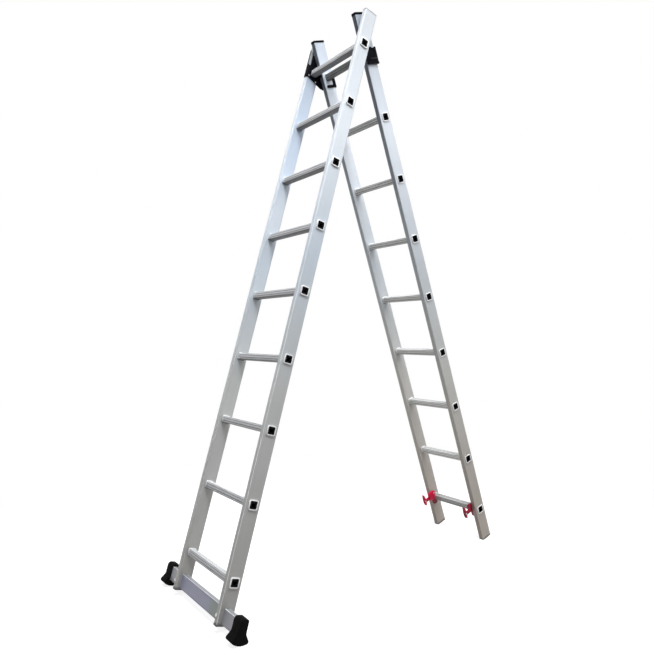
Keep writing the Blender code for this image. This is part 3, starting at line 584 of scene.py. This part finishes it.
def make_tread(half, end):
    """Ribbed bar between the stiles, centred across the ladder."""
    piece = traced([Vector((-end, *point)) for point in rung_outline(half)])
    push(Vector((2 * end, 0, 0)))
    return leave(piece, "tread")


def edge_runs_across(edge):
    run = edge.verts[1].co - edge.verts[0].co
    return abs(run.x) > 0.99 * run.length


def make_square(half, low, high, corner):
    """Square block across the rung's end, its four long edges rounded."""
    piece = begin("cube", size=1.0, location=((low + high) / 2, 0, 0), scale=(high - low, 2 * half, 2 * half))
    pick(piece, "EDGE", edge_runs_across)
    bpy.ops.mesh.bevel(offset=corner, segments=corner_steps, affect="EDGES")
    return piece


def make_collar(half, inner_face):
    """Swaged collar against the stile's inner face, rounded over towards the tread."""
    low, high = inner_face - collar_length, inner_face
    piece = make_square(half, low, high, rung_corner + collar_swell)
    pick(piece, "FACE", lambda face: face.normal.x < -0.9)
    bpy.ops.mesh.inset(thickness=0.0012, depth=0.0)
    bpy.ops.transform.translate(value=(-0.0004, 0, 0))
    return leave(piece, "collar", 0.0012, 2, 50)


def make_rim(half, outer_face, rim_end):
    """Rolled lip round the rung's open end."""
    piece = make_square(half, outer_face, rim_end, rung_corner + collar_swell)
    pick(piece, "FACE", lambda face: face.normal.x > 0.9)
    bpy.ops.mesh.inset(thickness=rim_lip, depth=0.0)
    bpy.ops.mesh.delete(type="FACE")
    pick(piece, "EDGE", lambda edge: edge.is_boundary)
    push(Vector((-rim_depth, 0, 0)))
    bpy.ops.mesh.edge_face_add()
    return leave(piece, "rim", 0.0011, 3, 50)


def make_plug(half, rim_end):
    """Pressed-in plug: a flat border round a dished panel with a small boss in its middle."""
    outer = half - rim_lip - plug_gap
    piece = make_square(outer, rim_end - rim_depth + plug_gap, rim_end - plug_sunk, rung_corner)
    pick(piece, "FACE", lambda face: face.normal.x > 0.9)
    bpy.ops.mesh.inset(thickness=plug_border, depth=0.0)
    bpy.ops.mesh.inset(thickness=0.0006, depth=-plug_dish)
    bpy.ops.mesh.inset(thickness=outer * 0.42, depth=0.0)
    bpy.ops.mesh.inset(thickness=0.0005, depth=0.0006)
    return leave(piece, "plug", 0.0003, 2, 50)


def build_rungs(section, body):
    """Each section's rungs and plugs are modelled once, about the bottom rung, and copied up the stiles.

    The base's top rung has no collars, and its tread ends short of the hinge plates."""
    high = extent(section + "_rung_1", section)[1]
    stile_low, stile_high = right_stiles[section]
    collar_half = high.z
    rim_half = collar_half + rim_flare
    rim_start = stile_high.x + stile_bite
    rim_end = high.x + rim_proud[section]
    parts = [make_tread(rung_half_size, stile_low.x - 0.5 * collar_length),
             make_collar(collar_half, stile_low.x - stile_bite), make_rim(rim_half, rim_start, rim_end)]
    parts += [copied(part, part.name + "_left", mirror) for part in parts[1:]]
    rung = united(*parts)
    plate_face = extent("hinge_plate_right", "base")[0].x
    tread = make_tread(rung_half_size, plate_face - top_tread_gap)
    rim = make_rim(rim_half, rim_start, rim_end)
    top_rung = united(tread, rim, copied(rim, "rim_left", mirror))
    plug = make_plug(rim_half, rim_end)
    for count in range(1, rung_count + 1):
        place_here = frames[section] @ Matrix.Translation((0, 0, (count - 1) * rung_pitch))
        node = f"{section}_rung_{count}"
        source = top_rung if section == "base" and count == rung_count else rung
        made = copied(source, node + "_wear_and_shade", place_here)
        hand_over(made, looks["rung_" + section], body, "rung_aluminium", node)
        for side, sign in sides.items():
            name = f"rung_plug_{section}_{count}_{side}"
            turned = place_here if sign > 0 else place_here @ mirror
            hand_over(copied(plug, name, turned), looks["black"], body, "black_plastic")
    for piece in (rung, top_rung, plug):
        bpy.data.objects.remove(piece)


build_rungs("base", "base_section")
build_rungs("fly", "fly_section")


# Stabiliser bar, and the rubber boots on its ends.

bar_corner = 0.0030
bar_groove_setback = 0.0050
bar_groove_width = 0.0024
bar_groove_depth = 0.0010
boot_wall = 0.0053
boot_waist = 0.040
boot_toe_corner = 0.014
boot_heel_corner = 0.007
boot_tip_corner = 0.0075
boot_sweep = 0.020
boot_soft = 0.0042
sole_radius = 0.070
sole_reach = 0.0375
tread_pitch = 0.0095
tread_width = 0.0024
tread_depth = 0.0012


def rounded_outline(corners, steps=5):
    """Outline through (y, z, radius) corners, each rounded by an arc."""
    points = []
    for index, (y, z, radius) in enumerate(corners):
        here = Vector((y, z))
        before = Vector(corners[index - 1][:2]) - here
        after = Vector(corners[(index + 1) % len(corners)][:2]) - here
        if radius == 0:
            points.append(here)
            continue
        half = before.angle(after) / 2
        reach = min(radius / math.tan(half), 0.49 * before.length, 0.49 * after.length)
        centre = here + (before.normalized() + after.normalized()).normalized() * reach / math.cos(half)
        start = here + before.normalized() * reach - centre
        end = here + after.normalized() * reach - centre
        first = math.atan2(start.y, start.x)
        sweep = (math.atan2(end.y, end.x) - first + math.pi) % (2 * math.pi) - math.pi
        for step in range(steps + 1):
            angle = first + sweep * step / steps
            points.append(centre + start.length * Vector((math.cos(angle), math.sin(angle))))
    return points


def build_bar():
    """Box section with a fine groove along the top and the bottom of its front."""
    low, high = extent("stabilizer_bar", "base")
    corners = [(high.y, low.z, bar_corner), (high.y, high.z, bar_corner), (low.y, high.z, bar_corner)]
    for level in (high.z - bar_groove_setback, low.z + bar_groove_setback):
        start, end = level + bar_groove_width / 2, level - bar_groove_width / 2
        corners += [(low.y, start, 0), (low.y + bar_groove_depth, (start + level) / 2, 0),
                    (low.y + bar_groove_depth, (end + level) / 2, 0), (low.y, end, 0)]
    corners.append((low.y, low.z, bar_corner))
    piece = traced([Vector((low.x, *point)) for point in rounded_outline(corners, 3)])
    push(Vector((high.x - low.x, 0, 0)))
    piece = leave(piece, "stabilizer_bar_drawn")
    piece.data.transform(base_frame)
    hand_over(piece, looks["bar"], "base_section", "bar_aluminium", "stabilizer_bar")


def boot_outline(low, high, bar_low, bar_high):
    """Side of a boot: a crown round the bar, a waist, a rounded toe and heel and a grooved round sole."""
    sole_centre = low.z + sole_radius
    waist = bar_high.z - boot_waist
    tip = math.asin(sole_reach / sole_radius)
    corners = [(-sole_reach, sole_centre - sole_radius * math.cos(tip), boot_tip_corner)]
    grooves = int(sole_reach * 1.5 / tread_pitch)
    for groove in range(grooves):
        middle_y = (groove - (grooves - 1) / 2) * tread_pitch
        for across, deep in ((-0.5, 0), (-0.35, 1), (0.35, 1), (0.5, 0)):
            y = middle_y + across * tread_width
            radius = sole_radius - deep * tread_depth
            corners.append((y, sole_centre - math.sqrt(radius ** 2 - y ** 2), 0))
    corners.append((sole_reach, sole_centre - sole_radius * math.cos(tip), boot_tip_corner))
    front, rear = bar_low.y - boot_wall, bar_high.y + boot_wall
    corners += [(rear, waist, boot_sweep), (rear, high.z, boot_heel_corner),
                (front, high.z, boot_toe_corner), (front, waist, boot_sweep)]
    return rounded_outline(corners)


def build_boot(side):
    """Rubber boot with soft edges, its sole flattened where it meets the floor."""
    node = "stabilizer_foot_" + side
    low, high = extent(node, "base")
    outline = boot_outline(low, high, *extent("stabilizer_bar", "base"))
    piece = traced([Vector((low.x, *point)) for point in outline])
    push(Vector((high.x - low.x, 0, 0)))
    piece = leave(piece, node + "_moulded", boot_soft, 4, 60)
    piece.data.transform(base_frame)
    bpy.ops.object.mode_set(mode="EDIT")
    bpy.ops.mesh.select_all(action="SELECT")
    bpy.ops.mesh.bisect(plane_co=(0, 0, 0), plane_no=(0, 0, 1), use_fill=True, clear_inner=True)
    bpy.ops.object.mode_set(mode="OBJECT")
    hand_over(piece, looks["rubber"], "base_section", "black_rubber", node)


build_bar()
for side in sides:
    build_boot(side)


# Black sheet on the left stile's front, put there as painted shade: a flange of the left hinge plate, folded
# round the front of its stile.

flange_sheet = 0.0012
flange_low = -0.026
flange_shoulder = 0.034
flange_high = 0.122
flange_neck = 0.0065
flange_corner = 0.006
flange_leg_end = -0.0178


def build_shade_flange():
    """Bent sheet standing in for shade: a tall face on the stile's front and a short leg along its inner
    side.
    """
    stile_low, stile_high = extent("base_stile_left", "base")
    level = (rung_count - 1) * rung_pitch
    bottom, shoulder, top = level + flange_low, level + flange_shoulder, level + flange_high
    outer, inner = stile_low.x + 0.0005, stile_high.x
    neck, neck_start = outer + flange_neck, level + flange_shoulder * 1.5
    corners = [(outer, bottom, flange_corner), (inner, bottom, 0), (inner, shoulder, 0.003),
               (neck, neck_start, 0.010), (neck, top, 0.003), (outer, top, 0.003)]
    front = stile_low.y - 0.0002
    piece = traced([Vector((point.x, front, point.y)) for point in rounded_outline(corners)])
    push(Vector((0, -flange_sheet, 0)))
    face = leave(piece, "painted_shade_flange_left", 0.0004, 2, 50)
    bend = front - flange_sheet
    corners = [(bend, bottom, 0), (flange_leg_end, bottom, 0.002),
               (flange_leg_end, shoulder, 0.002), (bend, shoulder, 0)]
    piece = traced([Vector((inner - 0.0002, *point)) for point in rounded_outline(corners)])
    push(Vector((flange_sheet, 0, 0)))
    piece = united(face, leave(piece, "flange_leg", 0.0004, 2, 50))
    piece.data.transform(base_frame)
    hand_over(piece, looks["black_steel"], "base_section", "black_steel")


build_shade_flange()


# Pressed ribs and a rolled lip on the outside of each guide sleeve.

rib_levels = (0.022, 0.056)
rib_proud = 0.0011
rib_rise = 0.0044
lip_proud = 0.0013
lip_rise = 0.0080
lip_sunk = 0.0004
lip_setback = 0.0028
lip_drop = 0.0008


def build_sleeve_ribs(side, sign):
    """Two flat ribs across the sleeve's outer plate, and a lip round its lower end. The ribs take a lighter
    finish than the sleeve, as a painted highlight.
    """
    low, high = extent("guide_sleeve_right", "fly")
    face, rear = high.x, high.y
    stile = right_stiles["fly"][0]
    turned = fly_frame if sign > 0 else fly_frame @ mirror
    bands = []
    for level in rib_levels:
        piece = begin("cube", size=1.0, location=(face, 0, low.z + level),
                      scale=(2 * rib_proud, 2 * (rear - 0.0065), rib_rise))
        pick(piece, "FACE", lambda side_face: side_face.normal.x > 0.9)
        bpy.ops.mesh.inset(thickness=0.0013, depth=0.0)
        bpy.ops.transform.translate(value=(0.0002, 0, 0))
        bands.append(leave(piece, "rib", 0.0006, 2, 25))
    start, front = stile.x + 0.004, stile.y + lip_setback
    corners = [(start, rear + lip_proud, 0.0004), (face + lip_proud, rear + lip_proud, 0.0044),
               (face + lip_proud, front, 0.0006), (face - lip_sunk, front, 0.0002),
               (face - lip_sunk, rear - lip_sunk, 0.0027), (start, rear - lip_sunk, 0.0002)]
    piece = traced([Vector((point.x, point.y, low.z - lip_drop)) for point in rounded_outline(corners)])
    push(Vector((0, 0, lip_rise)))
    lip = leave(piece, "lip", 0.0005, 2, 50)
    # The ribs' lighter finish is a painted highlight.
    for part, name, look in ((united(*bands), "sleeve_ribs_", "dark"), (lip, "sleeve_lip_", "black_steel")):
        hand_over(copied(part, name + side, turned), looks[look], "guide_sleeves", "black_steel")
        bpy.data.objects.remove(part)


for side, sign in sides.items():
    build_sleeve_ribs(side, sign)


# Mouldings and pressings whose edges are rounded over.

edge_rounds = {
    "latch_hook": 0.0012, "safety_tongue": 0.0010, "guide_sleeve": 0.0008, "hinge_plate": 0.0006,
    "base_top_cap": 0.0007, "fly_top_cap": 0.0007, "fly_foot": 0.0006, "stile_clip": 0.0008,
    "stile_end_plug": 0.0008, "bar_bolt": 0.0005, "bar_nut": 0.0005}
for node in list(frame["nodes"]):
    for start, soft in edge_rounds.items():
        if node.startswith(start):
            hand_over(softened(node, soft), look_of(node), bodies[node], slots[node], node)


# Studio.

def seen_white(made):
    """1 where a ray comes straight, by reflection or through glass, from the camera."""
    path = made.node("ShaderNodeLightPath", {}, {}).socket.node.outputs
    rays = [Value(made, path["Is " + kind + " Ray"]) for kind in ("Camera", "Glossy", "Transmission")]
    return rays[0].most(rays[1]).most(rays[2])


ambient = 0.11
floor_radius = 14.0
floor_drop = 0.0005
floor_glow = 0.86
shadow_fade = (1.0, 2.4)
camera_lens = 33.054
camera_turn = (90.107, 0.998, 54.101)
camera_from_rung = (2.1862, -0.9981, 0.9191)
lamps = (
    ("overhead", (1.65, -0.80, 5.08), (0.15, -0.05, 1.7), 1.8, 23.0, (0.94, 0.97, 1.0), 56.0),
    ("front_top", (0.22, -1.25, 5.85), (0.0, -0.2, 1.5), 1.5, 112.0, (0.96, 0.98, 1.0), 180.0),
    ("rear_fill", (2.55, 1.25, 4.7), (0.0, 0.2, 1.4), 2.25, 108.0, (0.96, 0.98, 1.0), 180.0))


def set_world():
    world = bpy.data.worlds.new("studio")
    bpy.context.scene.world = world
    made = Finish(world)
    white = seen_white(made)
    colour = made.mix(white, (1.0, 0.99, 0.97), (1.0, 1.0, 1.0))
    sockets = {"Color": colour, "Strength": white * (1 - ambient) + ambient}
    made.end(made.node("ShaderNodeBackground", {}, sockets), "ShaderNodeOutputWorld")


def add_floor():
    """Pale floor, seen white but for the ladder's shadow, which fades out away from it."""
    bpy.ops.object.select_all(action="DESELECT")
    place = (0, 0, -floor_drop)
    bpy.ops.mesh.primitive_circle_add(vertices=96, radius=floor_radius, fill_type="NGON", location=place)
    floor = bpy.context.object
    floor.name = "floor"
    made = new_finish("white_floor")
    across, back = made.parts(made.place())[:2]
    far = ((across ** 2 + back ** 2) ** 0.5).rise(*shadow_fade)
    diffuse = made.node("ShaderNodeBsdfDiffuse", {}, {"Color": (0.34, 0.33, 0.31)})
    strength = far * (1 - floor_glow) + floor_glow
    glow = made.node("ShaderNodeEmission", {}, {"Color": (1.0, 1.0, 1.0), "Strength": strength})
    shade = made.node("ShaderNodeBsdfDiffuse", {}, {"Color": (0.35, 0.35, 0.35)})
    shadowed = made.node("ShaderNodeAddShader", {}, {0: glow, 1: shade})
    seen = made.node("ShaderNodeMixShader", {}, {0: far, 1: shadowed, 2: glow})
    surface = made.node("ShaderNodeMixShader", {}, {0: seen_white(made), 1: diffuse, 2: seen})
    floor.data.materials.append(made.end(surface))


def add_lamp(name, place, aim, size, power, colour, spread):
    bpy.ops.object.light_add(type="AREA", location=place)
    lamp = bpy.context.object
    lamp.name = name
    lamp.data.shape = "SQUARE"
    lamp.data.size = size
    lamp.data.energy = power
    lamp.data.spread = math.radians(spread)
    lamp.data.color = colour
    lamp.rotation_euler = (Vector(aim) - Vector(place)).to_track_quat("-Z", "Y").to_euler()
    lamp.visible_camera = False
    lamp.visible_glossy = False


def add_camera():
    bpy.ops.object.camera_add()
    camera = bpy.context.object
    camera.data.sensor_width = 36.0
    camera.data.lens = camera_lens
    camera.data.clip_start = 0.05
    camera.rotation_euler = [math.radians(angle) for angle in camera_turn]
    camera.location = base_frame.translation + Vector(camera_from_rung)
    bpy.context.scene.camera = camera


bpy.context.scene.view_settings.view_transform = "Standard"
set_world()
add_floor()
for lamp in lamps:
    add_lamp(*lamp)
add_camera()
